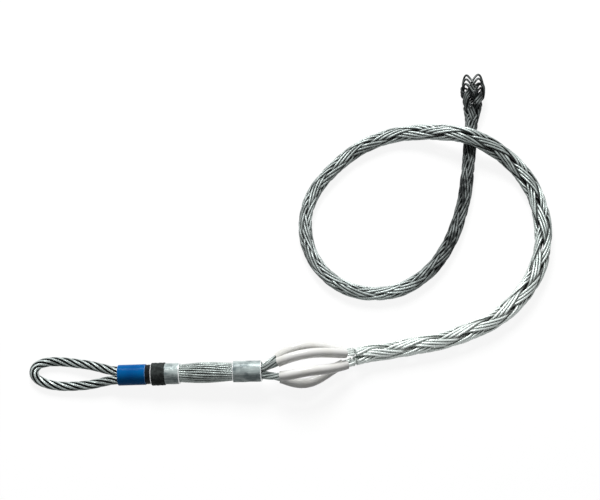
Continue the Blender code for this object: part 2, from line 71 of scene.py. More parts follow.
# Eye rope: six strands of six outer wires each, laid around a core. It is bent round into the
# eye, and both of its legs run through the blue sleeve into the front ferrule. Bright zinc-coated
# steel wire, painted lit on its crests and dark with grease and painted shade in its grooves.
ROPE_STRANDS = 6
ROPE_LAY = 0.064
ROPE_LAY_RADIUS = 0.00325
ROPE_STRAND_RADIUS = 0.00150
ROPE_CORE_RADIUS = 0.0017
ROPE_OFFSET = 0.00476
ROPE_BEND_HEIGHT = 0.00461
ROPE_LEG_POINTS = 8
ROPE_CORE_SIDES = 12
PRESSED_SHARE = 0.935
EYE_OUTLINE = [
    (0.005, 0.0050), (0.012, 0.0064), (0.020, 0.0086), (0.031, 0.0110), (0.044, 0.0125),
    (0.055, 0.0133), (0.0635, 0.0131), (0.071, 0.0121), (0.077, 0.0102), (0.0815, 0.0077),
    (0.0845, 0.0042), (0.0855, 0.0),
]
EYE_SWAY = 0.0068
EYE_SWAY_CURVE = 1.3
EYE_DROP_START = -0.15
EYE_DROP_END = 0.75
OUTER_WIRES = 6
WIRE_GROOVE = 0.00042
WIRE_SHOULDER = 0.3
ROPE_RING_STEP = 0.0008
LINE_STEP = 0.0015
FERRULE_LENGTH = 0.0290
SLEEVE_LENGTH = 0.0275
HEAD_SIDE = np.array((0.0, 1.0, 0.0))
STRAIGHT_PITCH = 1000.0
# Painted light and shade on the rope's wires: lit crests, shaded flanks, and grease and shade in the
# grooves.
ROPE_LIT_CRESTS = [(0.0, (0.66, 0.74, 0.72))]
ROPE_SHADED_FLANKS = [(0.0, (0.026, 0.031, 0.030))]
BLACK_GREASE_AND_SHADE = [(0.0, (0.008, 0.010, 0.010))]
ROPE_LIT_DEPTH = (0.76, 0.98)
LIT_CREST_FACING = (-0.2, 1.0)
GROOVE_RIDGE = (0.05, 0.55)
PATCH_NOISE = (0.35, 0.68)
SPECK_NOISE = (0.40, 0.72)
PATCH_DETAIL = 3.0
SPECK_DETAIL = 2.0
SPECKS_PER_PATCH = 14.0
WIRE_PATCH_SIZE = 0.012
PALE_RANGE = (0.35, 0.6)
PALE_PATCH_SHARE = 0.6
GROOVE_GREASE_AND_SHADE = 0.5
WIRE_ROUGHNESS = (0.26, 0.44)
DARK_RANGE = (0.25, 0.6)
DARK_ROUGHNESS = 0.2
WIRE_BUMP = 0.6


def middle(node):
    """Middle of a node's box."""
    low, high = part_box(node)
    return np.array((low + high) / 2)


def unit(vectors):
    """Vectors of length one."""
    return vectors / np.linalg.norm(vectors, axis=-1, keepdims=True)


def smoothstep(low, high, value):
    """0 below low, 1 above high, and a smooth ramp between them."""
    t = np.clip((np.asarray(value, float) - low) / (high - low), 0.0, 1.0)
    return t * t * (3 - 2 * t)


class Line:
    """Smooth curve through points, with a frame carried along it without twist."""

    def __init__(self, points, first_normal):
        points = np.array(points, float)
        padded = np.vstack([2 * points[0] - points[1], points, 2 * points[-1] - points[-2]])
        stretches = []
        for a, b, c, d in zip(padded, padded[1:], padded[2:], padded[3:]):
            count = max(2, int(np.linalg.norm(c - b) / LINE_STEP))
            t = np.arange(count)[:, None] / count
            bend = (2 * a - 5 * b + 4 * c - d) * t ** 2 + (3 * b - a - 3 * c + d) * t ** 3
            stretches.append(0.5 * (2 * b + (c - a) * t + bend))
        self.points = np.vstack([*stretches, points[-1:]])
        gaps = np.linalg.norm(np.diff(self.points, axis=0), axis=1)
        self.along = np.concatenate([[0.0], np.cumsum(gaps)])
        self.length = self.along[-1]
        self.tangents = unit(np.gradient(self.points, axis=0))
        normal = np.array(first_normal, float)
        carried = []
        for tangent in self.tangents:
            normal = unit(normal - tangent * (normal @ tangent))
            carried.append(normal)
        self.normals = np.array(carried)

    def at(self, stations):
        """Points, normals and binormals at distances from the start."""
        def read(values):
            return np.stack([np.interp(stations, self.along, v) for v in values.T], axis=-1)

        tangents = unit(read(self.tangents))
        normals = read(self.normals)
        normals = unit(normals - tangents * np.sum(normals * tangents, axis=-1, keepdims=True))
        return read(self.points), normals, np.cross(tangents, normals)

    def outward(self, stations, angles):
        """Points of the line and the directions out of it at angles from its normals."""
        points, normals, binormals = self.at(stations)
        angles = np.asarray(angles)[..., None]
        return points, np.cos(angles) * normals + np.sin(angles) * binormals


def wire_rings(centres, outward, reach):
    """Rings of vertices around centres: reach holds a radius for each vertex of each ring."""
    tangents = unit(np.gradient(centres, axis=0))
    normals = unit(outward - tangents * np.sum(outward * tangents, axis=1, keepdims=True))
    binormals = np.cross(tangents, normals)
    count = reach.shape[1]
    angles = math.tau * np.arange(count)[:, None] / count
    across = np.cos(angles) * normals[:, None] + np.sin(angles) * binormals[:, None]
    return centres[:, None] + reach[..., None] * across


def round_wire(centres, outward, radius, sides):
    """Rings of a wire that is round all along."""
    return wire_rings(centres, outward, np.full((len(centres), sides), radius))


def add_wires(name, bundle):
    """Mesh of several wires, each given as (rings, centres, depth, run). Its corners carry the
    place round and along the wire, its points their depth in the rope and run along the grip."""
    corners, faces, lay, depths, runs = [], [], [], [], []
    start = 0
    for rings, centres, depth, run in bundle:
        rows, count = rings.shape[:2]
        along = np.concatenate([[0], np.cumsum(np.linalg.norm(np.diff(centres, axis=0), axis=1))])
        for row in range(rows - 1):
            base = start + row * count
            for i in range(count):
                j = (i + 1) % count
                faces.append((base + i, base + j, base + count + j, base + count + i))
                here, there = along[row], along[row + 1]
                lay += [i / count, here, (i + 1) / count, here]
                lay += [(i + 1) / count, there, i / count, there]
        for row, step in ((0, -1), (rows - 1, 1)):
            faces.append([start + row * count + i for i in range(count)][::step])
            lay += [0.5, along[row]] * count
        corners.append(rings.reshape(-1, 3))
        depths.append(depth.ravel())
        runs.append(np.repeat(run, count))
        start += rows * count
    data = bpy.data.meshes.new(name)
    data.from_pydata(np.vstack(corners).tolist(), [], faces)
    data.uv_layers.new(name="lay").data.foreach_set("uv", np.array(lay, np.float32))
    for word, values in (("depth", depths), ("run", runs)):
        slot = data.attributes.new(word, "FLOAT", "POINT")
        slot.data.foreach_set("value", np.concatenate(values).astype(np.float32))
    data.shade_smooth()
    made = bpy.data.objects.new(name, data)
    bpy.context.scene.collection.objects.link(made)
    return made


def put(tree, kind, inputs=None, **settings):
    """New shader node with its settings, and its inputs set or linked."""
    made = tree.nodes.new("ShaderNode" + kind)
    for word, value in settings.items():
        setattr(made, word, value)
    for socket, value in (inputs or {}).items():
        if isinstance(value, bpy.types.NodeSocket):
            tree.links.new(value, made.inputs[socket])
        else:
            made.inputs[socket].default_value = value
    return made


def reckon(tree, operation, *values):
    """Result of a Math node."""
    return put(tree, "Math", dict(enumerate(values)), operation=operation).outputs[0]


def ramp(tree, value, low, high, to_low=0.0, to_high=1.0):
    """Value mapped smoothly from one range onto another."""
    inputs = {"Value": value, "From Min": low, "From Max": high, "To Min": to_low, "To Max": to_high}
    return put(tree, "MapRange", inputs, interpolation_type="SMOOTHSTEP").outputs["Result"]


def mix(tree, share, first, second):
    """Two colours mixed by a share."""
    return put(tree, "Mix", {0: share, 6: first, 7: second}, data_type="RGBA").outputs[2]


def along_grip(tree, run, stops):
    """Colour that changes along the grip, from stops of (run, colour)."""
    made = put(tree, "ValToRGB", {"Fac": run})
    points = made.color_ramp.elements
    points.remove(points[1])
    points[0].color = (*stops[0][1], 1.0)
    for place, colour in stops[1:]:
        points.new(place).color = (*colour, 1.0)
    return made.outputs["Color"]


def start_group(name, inputs, outputs):
    """Empty node group with named float inputs and outputs, and its two end nodes."""
    tree = bpy.data.node_groups.new(name, "ShaderNodeTree")
    for word, value in inputs.items():
        socket = tree.interface.new_socket(word, in_out="INPUT", socket_type="NodeSocketFloat")
        socket.default_value = value
    for word in outputs:
        tree.interface.new_socket(word, in_out="OUTPUT", socket_type="NodeSocketFloat")
    return tree, tree.nodes.new("NodeGroupInput").outputs, tree.nodes.new("NodeGroupOutput").inputs


def place_group(tree, group, **inputs):
    """Outputs of a node group placed in a material with its own values."""
    made = tree.nodes.new("ShaderNodeGroup")
    made.node_tree = group
    for word, value in inputs.items():
        made.inputs[word.replace("_", " ").capitalize()].default_value = value
    return made.outputs


def start_material(name, **plain):
    """New material, its tree and its shader, with the shader's plain values set."""
    made = bpy.data.materials.new(name)
    made.use_nodes = True
    shader = made.node_tree.nodes["Principled BSDF"]
    for word, value in plain.items():
        shader.inputs[word.replace("_", " ").title().replace("Ior", "IOR")].default_value = value
    return made, made.node_tree, shader


def speckle(tree, shader, weather, roughness):
    """Roughness between two levels, the higher one in the specks."""
    rough = ramp(tree, weather["Specks"], 0.0, 1.0, *roughness)
    tree.links.new(rough, shader.inputs["Roughness"])


def emboss(tree, shader, height, strength, depth):
    """Relief on a shader, from a height that changes over the surface."""
    relief = put(tree, "Bump", {"Strength": strength, "Distance": depth, "Height": height})
    tree.links.new(relief.outputs[0], shader.inputs["Normal"])


def make_wire_lay():
    """Wires laid round a strand: rounded ridges that wind along it, the grooves between them,
    and the side of the strand that faces out of the rope."""
    outputs = ["Ridge", "Groove", "Lit crest"]
    inputs = {"Wires": OUTER_WIRES, "Pitch": STRAIGHT_PITCH}
    tree, given, result = start_group("wire_lay", inputs, outputs)
    place = put(tree, "SeparateXYZ", {0: put(tree, "UVMap", uv_map="lay").outputs[0]}).outputs
    facing = reckon(tree, "COSINE", reckon(tree, "MULTIPLY", place[0], math.tau))
    # The side facing out of the rope is the mask for the painted light on the crests.
    tree.links.new(ramp(tree, facing, *LIT_CREST_FACING), result["Lit crest"])
    turns = reckon(tree, "ADD", place[0], reckon(tree, "DIVIDE", place[1], given["Pitch"]))
    phase = reckon(tree, "MULTIPLY", reckon(tree, "MULTIPLY", turns, given["Wires"]), math.pi)
    ridge = reckon(tree, "ABSOLUTE", reckon(tree, "SINE", phase))
    tree.links.new(ridge, result["Ridge"])
    tree.links.new(ramp(tree, ridge, *GROOVE_RIDGE, 1.0, 0.0), result["Groove"])
    return tree


def make_weathering():
    """Patches where zinc has dulled, and fine specks of dirt."""
    inputs = {"Patch size": WIRE_PATCH_SIZE}
    tree, given, result = start_group("weathering", inputs, ["Patches", "Specks"])
    place = put(tree, "TexCoord").outputs["Object"]
    wide = reckon(tree, "DIVIDE", 1.0, given["Patch size"])
    patches = put(tree, "TexNoise", {"Vector": place, "Scale": wide, "Detail": PATCH_DETAIL})
    close = reckon(tree, "MULTIPLY", wide, SPECKS_PER_PATCH)
    specks = put(tree, "TexNoise", {"Vector": place, "Scale": close, "Detail": SPECK_DETAIL})
    tree.links.new(ramp(tree, patches.outputs[0], *PATCH_NOISE), result["Patches"])
    tree.links.new(ramp(tree, specks.outputs[0], *SPECK_NOISE), result["Specks"])
    return tree


WIRE_LAY = make_wire_lay()
WEATHERING = make_weathering()


def steel_wire(name, crests, shaded_flanks, pitch, lit_depth, relief, grooves=BLACK_GREASE_AND_SHADE):
    """Zinc-coated wire with light and shade painted into its colour: crests that face out painted
    lit, flanks painted in shade, grooves and deep wires painted dark as grease and shade. The
    colours are stops along the grip. Pale wire is less patchy, and dark wire is rougher."""
    made, tree, shader = start_material(name, metallic=0.3, specular_ior_level=0.12)
    depth = put(tree, "Attribute", attribute_name="depth").outputs["Fac"]
    run = put(tree, "Attribute", attribute_name="run").outputs["Fac"]
    lay = place_group(tree, WIRE_LAY, pitch=pitch)
    weather = place_group(tree, WEATHERING, patch_size=WIRE_PATCH_SIZE)
    crest = along_grip(tree, run, crests)
    paleness = put(tree, "RGBToBW", {"Color": crest}).outputs[0]
    dulling = ramp(tree, paleness, *PALE_RANGE, 1.0, PALE_PATCH_SHARE)
    patches = reckon(tree, "MULTIPLY", weather["Patches"], dulling)
    # Painted light and shade: the side facing out gets the lit crest colour, the rest the shaded
    # flank colour.
    lit_clean = reckon(tree, "MULTIPLY", lay["Lit crest"], reckon(tree, "SUBTRACT", 1.0, patches))
    metal = mix(tree, lit_clean, along_grip(tree, run, shaded_flanks), crest)
    # Grease and painted shade: grooves between wires and wires deep in the rope go to the dark
    # groove colour.
    bare_and_unshaded = reckon(tree, "SUBTRACT", 1.0, reckon(tree, "MULTIPLY", lay["Groove"], GROOVE_GREASE_AND_SHADE))
    lit = reckon(tree, "MULTIPLY", ramp(tree, depth, *lit_depth), bare_and_unshaded)
    grease_and_shade = along_grip(tree, run, grooves)
    tree.links.new(mix(tree, lit, grease_and_shade, metal), shader.inputs["Base Color"])
    worn = ramp(tree, weather["Specks"], 0.0, 1.0, *WIRE_ROUGHNESS)
    rough = reckon(tree, "ADD", worn, ramp(tree, paleness, *DARK_RANGE, DARK_ROUGHNESS, 0.0))
    tree.links.new(rough, shader.inputs["Roughness"])
    emboss(tree, shader, lay["Ridge"], WIRE_BUMP, relief)
    return made


head_direction = unit(middle("front_ferrule") - middle("rear_ferrule"))
head_start = middle("rear_ferrule") - head_direction * FERRULE_LENGTH / 2


def head_station(node):
    """Distance of a fitting's middle along the head, from the rear ferrule's exit."""
    return float((middle(node) - head_start) @ head_direction)


def head_point(station, aside=0.0):
    """Point on the head's axis, or beside it."""
    return head_start + station * head_direction + aside * HEAD_SIDE


FRONT_FERRULE_AT = head_station("front_ferrule")
SLEEVE_AT = head_station("colour_sleeve")
head_end = SLEEVE_AT + SLEEVE_LENGTH / 2
sleeve_start = SLEEVE_AT - SLEEVE_LENGTH / 2


def rope_share(station):
    """Size of the eye rope beside its free size: pressed in the ferrule, free in the sleeve."""
    free = smoothstep(sleeve_start, sleeve_start + SLEEVE_LENGTH / 3, station)
    return PRESSED_SHARE + (1 - PRESSED_SHARE) * free


def make_eye_line():
    """Centreline of the eye rope, from the front ferrule round the eye and back. The outline
    gives half of the eye, as distances out of the sleeve and aside."""
    ferrule_end = FRONT_FERRULE_AT + FERRULE_LENGTH / 2
    stations = [FRONT_FERRULE_AT, *np.linspace(ferrule_end, head_end, ROPE_LEG_POINTS)]
    mouth = head_point(head_end)
    reach = EYE_OUTLINE[-1][0]

    def leg_point(station, side):
        return head_point(station, side * ROPE_OFFSET * rope_share(station))

    def eye_point(distance, aside):
        drop = smoothstep(EYE_DROP_START * reach, EYE_DROP_END * reach, distance)
        height = mouth[2] + (ROPE_BEND_HEIGHT - mouth[2]) * drop
        sway = EYE_SWAY * (distance / reach) ** EYE_SWAY_CURVE
        return np.array((mouth[0] - distance, mouth[1] + sway + aside, height))

    there = [leg_point(station, 1) for station in stations]
    there += [eye_point(distance, aside) for distance, aside in EYE_OUTLINE]
    back = [eye_point(distance, -aside) for distance, aside in EYE_OUTLINE[-2::-1]]
    back += [leg_point(station, -1) for station in reversed(stations)]
    return Line(there + back, HEAD_SIDE), head_end - FRONT_FERRULE_AT


eye_line, eye_leg = make_eye_line()
stations = np.arange(0.0, eye_line.length, ROPE_RING_STEP)
share = rope_share(head_end + np.minimum(stations, eye_line.length - stations) - eye_leg)
shoulder = -WIRE_SHOULDER * WIRE_GROOVE
section = np.tile([-WIRE_GROOVE, shoulder, 0.0, shoulder], OUTER_WIRES)
rope_zeros = np.zeros(len(stations))
rope_wire = steel_wire("rope_wire", ROPE_LIT_CRESTS, ROPE_SHADED_FLANKS, STRAIGHT_PITCH, ROPE_LIT_DEPTH, 0.0)


def rope_depth(rings):
    """0 on the rope's core and 1 on its outermost wires."""
    out = np.linalg.norm(rings - eye_line.at(stations)[0][:, None], axis=2)
    return np.clip((out - ROPE_CORE_RADIUS) / (2 * ROPE_STRAND_RADIUS), 0.0, 1.0)


for k in range(ROPE_STRANDS):
    angles = math.tau * ((stations - eye_line.length / 2) / ROPE_LAY + k / ROPE_STRANDS)
    spine_points, outward = eye_line.outward(stations, angles)
    centres = spine_points + ROPE_LAY_RADIUS * share[:, None] * outward
    reach = share[:, None] * (ROPE_STRAND_RADIUS + section[None, :])
    rings = wire_rings(centres, outward, reach)
    strand = add_wires(f"eye_rope_strand_{k + 1}", [(rings, centres, rope_depth(rings), rope_zeros)])
    strand.data.materials.append(rope_wire)
    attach(strand, "root")
    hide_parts(f"eye_strand_{k + 1}")

core_points, core_out = eye_line.outward(stations, rope_zeros)
core_rings = round_wire(core_points, core_out, ROPE_CORE_RADIUS, ROPE_CORE_SIDES)
core = add_wires("eye_rope_centre", [(core_rings, core_points, rope_depth(core_rings), rope_zeros)])
core.data.materials.append(rope_wire)
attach(core, "root")
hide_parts("eye_rope_core")


# Strand bundle: the mesh's 24 strand ends, of zinc-coated steel wire, brought together and
# pressed by a ferrule at each end. They lie side by side with a slight turn and swell a little
# where nothing holds them.
BUNDLE_STRANDS = 24
PRESSED_RADIUS = 0.00876
BUNDLE_SWELL = 0.0016
BUNDLE_TURN = math.radians(38)
BUNDLE_STRAND_RADIUS = 0.00104
BUNDLE_SIDES = 10
BUNDLE_RING_STEP = 0.0022
BUNDLE_CORE_RADIUS = 0.0078
BUNDLE_CORE_SIDES = 24
BUNDLE_LINE_POINTS = 4
BUNDLE_STRAY = 0.010
BUNDLE_STRAY_WAVES = 4
BUNDLE_SINK = 0.00022
BUNDLE_SEED = 11
# Painted light and shade on the bundle's wires: lit crests and shaded flanks.
BUNDLE_LIT_CRESTS = [(0.0, (0.54, 0.61, 0.585))]
BUNDLE_SHADED_FLANKS = [(0.0, (0.095, 0.108, 0.103))]
BUNDLE_WIRE_PITCH = 0.012
BUNDLE_LIT_DEPTH = (0.50, 0.92)
WIRE_RELIEF = 0.00012
REAR_FERRULE_AT = head_station("rear_ferrule")

bundle_places = np.linspace(REAR_FERRULE_AT, FRONT_FERRULE_AT, BUNDLE_LINE_POINTS)
bundle_line = Line([head_point(station) for station in bundle_places], HEAD_SIDE)
bundle_stations = np.arange(0.0, bundle_line.length, BUNDLE_RING_STEP)
free_length = bundle_line.length - FERRULE_LENGTH
free_share = np.clip((bundle_stations - FERRULE_LENGTH / 2) / free_length, 0.0, 1.0)
swell = BUNDLE_SWELL * np.sin(math.pi * free_share)
bundle_zeros = np.zeros(len(bundle_stations))
bundle_wire = steel_wire(
    "bundle_wire", BUNDLE_LIT_CRESTS, BUNDLE_SHADED_FLANKS, BUNDLE_WIRE_PITCH, BUNDLE_LIT_DEPTH, WIRE_RELIEF
)


def bundle_depth(rings):
    """0 at the roots of the outer strands and 1 on their crests."""
    spine_points = bundle_line.at(bundle_stations)[0]
    out = np.linalg.norm(rings - spine_points[:, None], axis=2) - swell[:, None]
    return np.clip(1 - (PRESSED_RADIUS - out) / (2 * BUNDLE_STRAND_RADIUS), 0.0, 1.0)


bundle_rings = []
chance = np.random.default_rng(BUNDLE_SEED)
for k in range(BUNDLE_STRANDS):
    wander = chance.normal(0.0, BUNDLE_STRAY, BUNDLE_STRAY_WAVES)
    stray = sum(w * np.sin(math.pi * (i + 1) * free_share) for i, w in enumerate(wander))
    turn = BUNDLE_TURN * bundle_stations / bundle_line.length
    angles = math.tau * k / BUNDLE_STRANDS + turn + stray
    spine_points, outward = bundle_line.outward(bundle_stations, angles)
    sink = chance.uniform(0.0, BUNDLE_SINK) * np.sin(math.pi * free_share)
    distance = PRESSED_RADIUS - BUNDLE_STRAND_RADIUS + swell - sink
    centres = spine_points + distance[:, None] * outward
    rings = round_wire(centres, outward, BUNDLE_STRAND_RADIUS, BUNDLE_SIDES)
    bundle_rings.append((rings, centres, bundle_depth(rings), bundle_zeros))
# A cylinder fills the bundle's middle. Lying deep, it is painted dark as shade between the strands.
spine_points, outward = bundle_line.outward(bundle_stations, bundle_zeros)
reach = np.repeat(BUNDLE_CORE_RADIUS + swell[:, None], BUNDLE_CORE_SIDES, axis=1)
rings = wire_rings(spine_points, outward, reach)
bundle_rings.append((rings, spine_points, bundle_depth(rings), bundle_zeros))
bundle = add_wires("bundle_of_strands", bundle_rings)
bundle.data.materials.append(bundle_wire)
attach(bundle, "root")
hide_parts("strand_bundle")


# Ferrules: two short steel tubes pressed over the strands, one over the bundle and the eye
# rope's legs, one over the bundle's other end. Zinc-coated, with burnished rims painted near
# white as a highlight, and the dents and scuffs of the press.
FERRULE_BORE = 0.00908
FERRULE_RADIUS = 0.01048
FERRULE_RIM = 0.0008
FERRULE_SIDES = 96
TUBE_RINGS = 18
RIM_STEPS = 5
SHARP_ANGLE = math.radians(50)
DENT_DEPTH = 0.00010
DENT_EDGE = 0.0002
PRESS_FLATS = 6
FLAT_SHARE = 0.6
DENT_WAVES = 420
DENT_SLANT = 2
DENT_COUNT = 5
RIPPLE_WAVES = 900
RIPPLE_COUNT = 3
RIPPLE_SHARE = 0.4
ZINC_BRIGHT = (0.47, 0.55, 0.54, 1)
ZINC_DULL = (0.17, 0.215, 0.22, 1)
ZINC_SCUFFED = (0.78, 0.84, 0.83, 1)
ZINC_PATCH_SIZE = 0.009
ZINC_ROUGHNESS = (0.30, 0.48)
SCUFF_SHARE = 0.5
SCUFF_NOISE = (0.45, 0.75)
SCUFF_STRETCH = (60.0, 1100.0, 1100.0)
SCUFF_DETAIL = 4.0
CRINKLE_SCALE = 300.0
CRINKLE_DETAIL = 3.0
CRINKLE_BUMP = 0.7
CRINKLE_DEPTH = 0.0007
# Near-white rim colours: burnished steel with a painted highlight.
RIM_BURNISH_HIGHLIGHT = [(0.97, 0.98, 0.98, 1), (0.84, 0.86, 0.87, 1)]
RIM_PATCH_SIZE = 0.004
RIM_ROUGHNESS = (0.22, 0.36)
FERRULES = [("front_tube", "front_ferrule", 3), ("rear_tube", "rear_ferrule", 5)]


def add_shell(name, rings):
    """Closed mesh of rings, each joined to the next and the last to the first, with crisp
    edges."""
    rows, count = rings.shape[:2]
    faces = []
    for i in range(rows):
        j = (i + 1) % rows
        for a in range(count):
            b = (a + 1) % count
            faces.append((i * count + a, i * count + b, j * count + b, j * count + a))
    data = bpy.data.meshes.new(name)
    data.from_pydata(rings.reshape(-1, 3).tolist(), [], faces)
    data.shade_smooth()
    data.set_sharp_from_angle(angle=SHARP_ANGLE)
    made = bpy.data.objects.new(name, data)
    bpy.context.scene.collection.objects.link(made)
    return made


def add_turned(name, profile, station, sides, shift=None):
    """Closed ring turned about the head's axis from a profile of (radius, distance along)."""
    radii, places = np.array(profile, float).T
    angles = math.tau * np.arange(sides) / sides
    radius = np.repeat(radii[None, :], sides, axis=0)
    if shift is not None:
        radius = radius + shift(angles[:, None], radii[None, :], places[None, :])
    up = np.cross(HEAD_SIDE, head_direction)
    across = np.cos(angles)[:, None] * HEAD_SIDE + np.sin(angles)[:, None] * up
    rings = head_point(station) + radius[..., None] * across[:, None]
    return add_shell(name, rings + places[None, :, None] * head_direction)


def tube_outline(bore, radius, length, rim, rings=TUBE_RINGS, round_steps=RIM_STEPS):
    """Profile of a tube whose outer rims are rounded."""
    half = length / 2
    outer = [(radius, place) for place in np.linspace(half - rim, rim - half, rings)]
    turns = np.linspace(0.0, math.pi / 2, round_steps + 1)[:-1]
    first = [
        (radius - rim + rim * math.sin(t), half - rim + rim * math.cos(t)) for t in turns
    ]
    last = [(r, -place) for r, place in first[::-1]]
    return [(bore, half), *first, *outer, *last, (bore, -half)]


def press_marks(seed):
    """Shallow dents of the press: waves of the surface that fade at the bore and the rims."""
    waves = np.random.default_rng(seed).uniform(0.0, math.tau, 4)

    def shift(angles, radii, places):
        outside = smoothstep(FERRULE_RADIUS - DENT_EDGE, FERRULE_RADIUS, radii)
        flats = np.cos(PRESS_FLATS * angles + waves[0]) * FLAT_SHARE
        dents = np.sin(DENT_WAVES * places + DENT_SLANT * angles + waves[1])
        dents = dents * np.sin(DENT_COUNT * angles + waves[2])
        ripple = RIPPLE_SHARE * np.sin(RIPPLE_WAVES * places + waves[3])
        ripple = ripple * np.cos(RIPPLE_COUNT * angles)
        return DENT_DEPTH * outside * (flats + dents + ripple)

    return shift


def make_ferrule_steel():
    """Zinc coat: blue-grey, blotched and scuffed along the tube, bright where it is worn."""
    made, tree, shader = start_material("ferrule_zinc", metallic=0.1, specular_ior_level=0.16)
    weather = place_group(tree, WEATHERING, patch_size=ZINC_PATCH_SIZE)
    place = put(tree, "TexCoord").outputs["Object"]
    drawn = put(tree, "Mapping", {"Vector": place, "Scale": SCUFF_STRETCH})
    noise = {"Vector": drawn.outputs[0], "Scale": 1.0, "Detail": SCUFF_DETAIL}
    scuffs = ramp(tree, put(tree, "TexNoise", noise).outputs[0], *SCUFF_NOISE)
    scuff = reckon(tree, "MULTIPLY", scuffs, SCUFF_SHARE)
    worn = mix(tree, scuff, mix(tree, weather["Patches"], ZINC_BRIGHT, ZINC_DULL), ZINC_SCUFFED)
    tree.links.new(worn, shader.inputs["Base Color"])
    speckle(tree, shader, weather, ZINC_ROUGHNESS)
    noise = {"Vector": place, "Scale": CRINKLE_SCALE, "Detail": CRINKLE_DETAIL}
    crinkle = put(tree, "TexNoise", noise).outputs[0]
    emboss(tree, shader, crinkle, CRINKLE_BUMP, CRINKLE_DEPTH)
    return made


def patchy_material(name, colours, patch_size, roughness, **plain):
    """Material of two colours in soft patches, a little rougher where it is specked."""
    made, tree, shader = start_material(name, **plain)
    weather = place_group(tree, WEATHERING, patch_size=patch_size)
    tree.links.new(mix(tree, weather["Patches"], *colours), shader.inputs["Base Color"])
    speckle(tree, shader, weather, roughness)
    return made


def coat_tube(tube, node, length, rim, outside, rims):
    """Gives a tube one material and its rounded rims another."""
    tube.data.materials.append(outside)
    tube.data.materials.append(rims)
    for face in tube.data.polygons:
        offset = np.array(face.center) - middle(node)
        if abs(offset @ head_direction) > length / 2 - rim:
            face.material_index = 1


ferrule_zinc = make_ferrule_steel()
burnished_highlight_steel = patchy_material(
    "burnished_highlight_steel", RIM_BURNISH_HIGHLIGHT, RIM_PATCH_SIZE, RIM_ROUGHNESS, metallic=0.6
)
ferrule_outline = tube_outline(FERRULE_BORE, FERRULE_RADIUS, FERRULE_LENGTH, FERRULE_RIM)
for name, node, seed in FERRULES:
    ferrule = add_turned(name, ferrule_outline, head_station(node), FERRULE_SIDES, press_marks(seed))
    coat_tube(ferrule, node, FERRULE_LENGTH, FERRULE_RIM, ferrule_zinc, burnished_highlight_steel)
    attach(ferrule, "root")
    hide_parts(node)


# Cloth tape: three turns of black cotton tape wound on the front ferrule to cover its sharp
# end. Each turn laps over the one before, and the cloth is dusty and puckered.
TAPE_LENGTH = 0.0135
TAPE_BORE = 0.01063
TAPE_RADIUS = 0.01143
TAPE_TURNS = 3
TAPE_LAP = 0.00030
TAPE_LAP_EDGE = 0.90
TAPE_PUCKERS = 9
PUCKER_SLANT = 700
PUCKER_GROUPS = 4
PUCKER_SHARE = 0.14
TAPE_RIM = 0.0004
TAPE_SIDES = 128
TAPE_RINGS = 40
TAPE_RIM_STEPS = 4
CLOTH_CLEAN = (0.016, 0.018, 0.018, 1)
CLOTH_DUSTY = (0.060, 0.070, 0.068, 1)
CLOTH_SPECKED = (0.11, 0.125, 0.12, 1)
CLOTH_PATCH_SIZE = 0.004
CLOTH_SPECKS = 0.4
CLOTH_ROUGHNESS = (0.65, 0.9)
THREAD_SCALE = 700.0
THREAD_STRAY = 0.6
THREAD_BUMP = 0.5
THREAD_DEPTH = 0.0002


def tape_laps(angles, radii, places):
    """Steps where a turn laps over the one before, and small puckers along its edge."""
    outside = smoothstep(TAPE_BORE, TAPE_BORE + TAPE_RIM, radii)
    turn = places * TAPE_TURNS / TAPE_LENGTH + angles / math.tau
    saw = turn - np.floor(turn)
    step = saw * (1 - smoothstep(TAPE_LAP_EDGE, 1.0, saw)) - 0.5
    pucker = np.sin(TAPE_PUCKERS * angles + PUCKER_SLANT * places) * np.sin(PUCKER_GROUPS * angles)
    return outside * TAPE_LAP * (step + PUCKER_SHARE * pucker)


def make_tape_cloth():
    """Black cotton: a plain weave, greyed by dust in patches."""
    made, tree, shader = start_material("tape_cloth", metallic=0.0, specular_ior_level=0.05)
    place = put(tree, "TexCoord").outputs["Object"]
    weather = place_group(tree, WEATHERING, patch_size=CLOTH_PATCH_SIZE)
    dusty = mix(tree, weather["Patches"], CLOTH_CLEAN, CLOTH_DUSTY)
    specks = reckon(tree, "MULTIPLY", weather["Specks"], CLOTH_SPECKS)
    tree.links.new(mix(tree, specks, dusty, CLOTH_SPECKED), shader.inputs["Base Color"])
    speckle(tree, shader, weather, CLOTH_ROUGHNESS)
    waves = {"Vector": place, "Scale": THREAD_SCALE, "Distortion": THREAD_STRAY}
    weft = put(tree, "TexWave", waves, bands_direction="X").outputs["Fac"]
    warp = put(tree, "TexWave", waves, bands_direction="Y").outputs["Fac"]
    emboss(tree, shader, reckon(tree, "ADD", weft, warp), THREAD_BUMP, THREAD_DEPTH)
    return made


tape_outline = tube_outline(
    TAPE_BORE, TAPE_RADIUS - TAPE_LAP / 2, TAPE_LENGTH, TAPE_RIM, TAPE_RINGS, TAPE_RIM_STEPS
)
tape = add_turned("wound_tape", tape_outline, head_station("tape_wrap"), TAPE_SIDES, tape_laps)
tape.data.materials.append(make_tape_cloth())
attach(tape, "root")
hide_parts("tape_wrap")


# Neck wrap: three tight turns of thin black plastic cord, wound over both legs of the eye rope
# between the colour sleeve and the front ferrule. A little glossy.
NECK_LENGTH = 0.0045
NECK_RADIUS = 0.00978
NECK_TURNS = 3
NECK_GROOVE = 0.00045
NECK_RINGS = 31
NECK_SIDES = 72
NECK_COLOURS = [(0.006, 0.007, 0.008, 1), (0.018, 0.020, 0.023, 1)]
NECK_PATCH_SIZE = 0.003
NECK_ROUGHNESS = (0.38, 0.6)

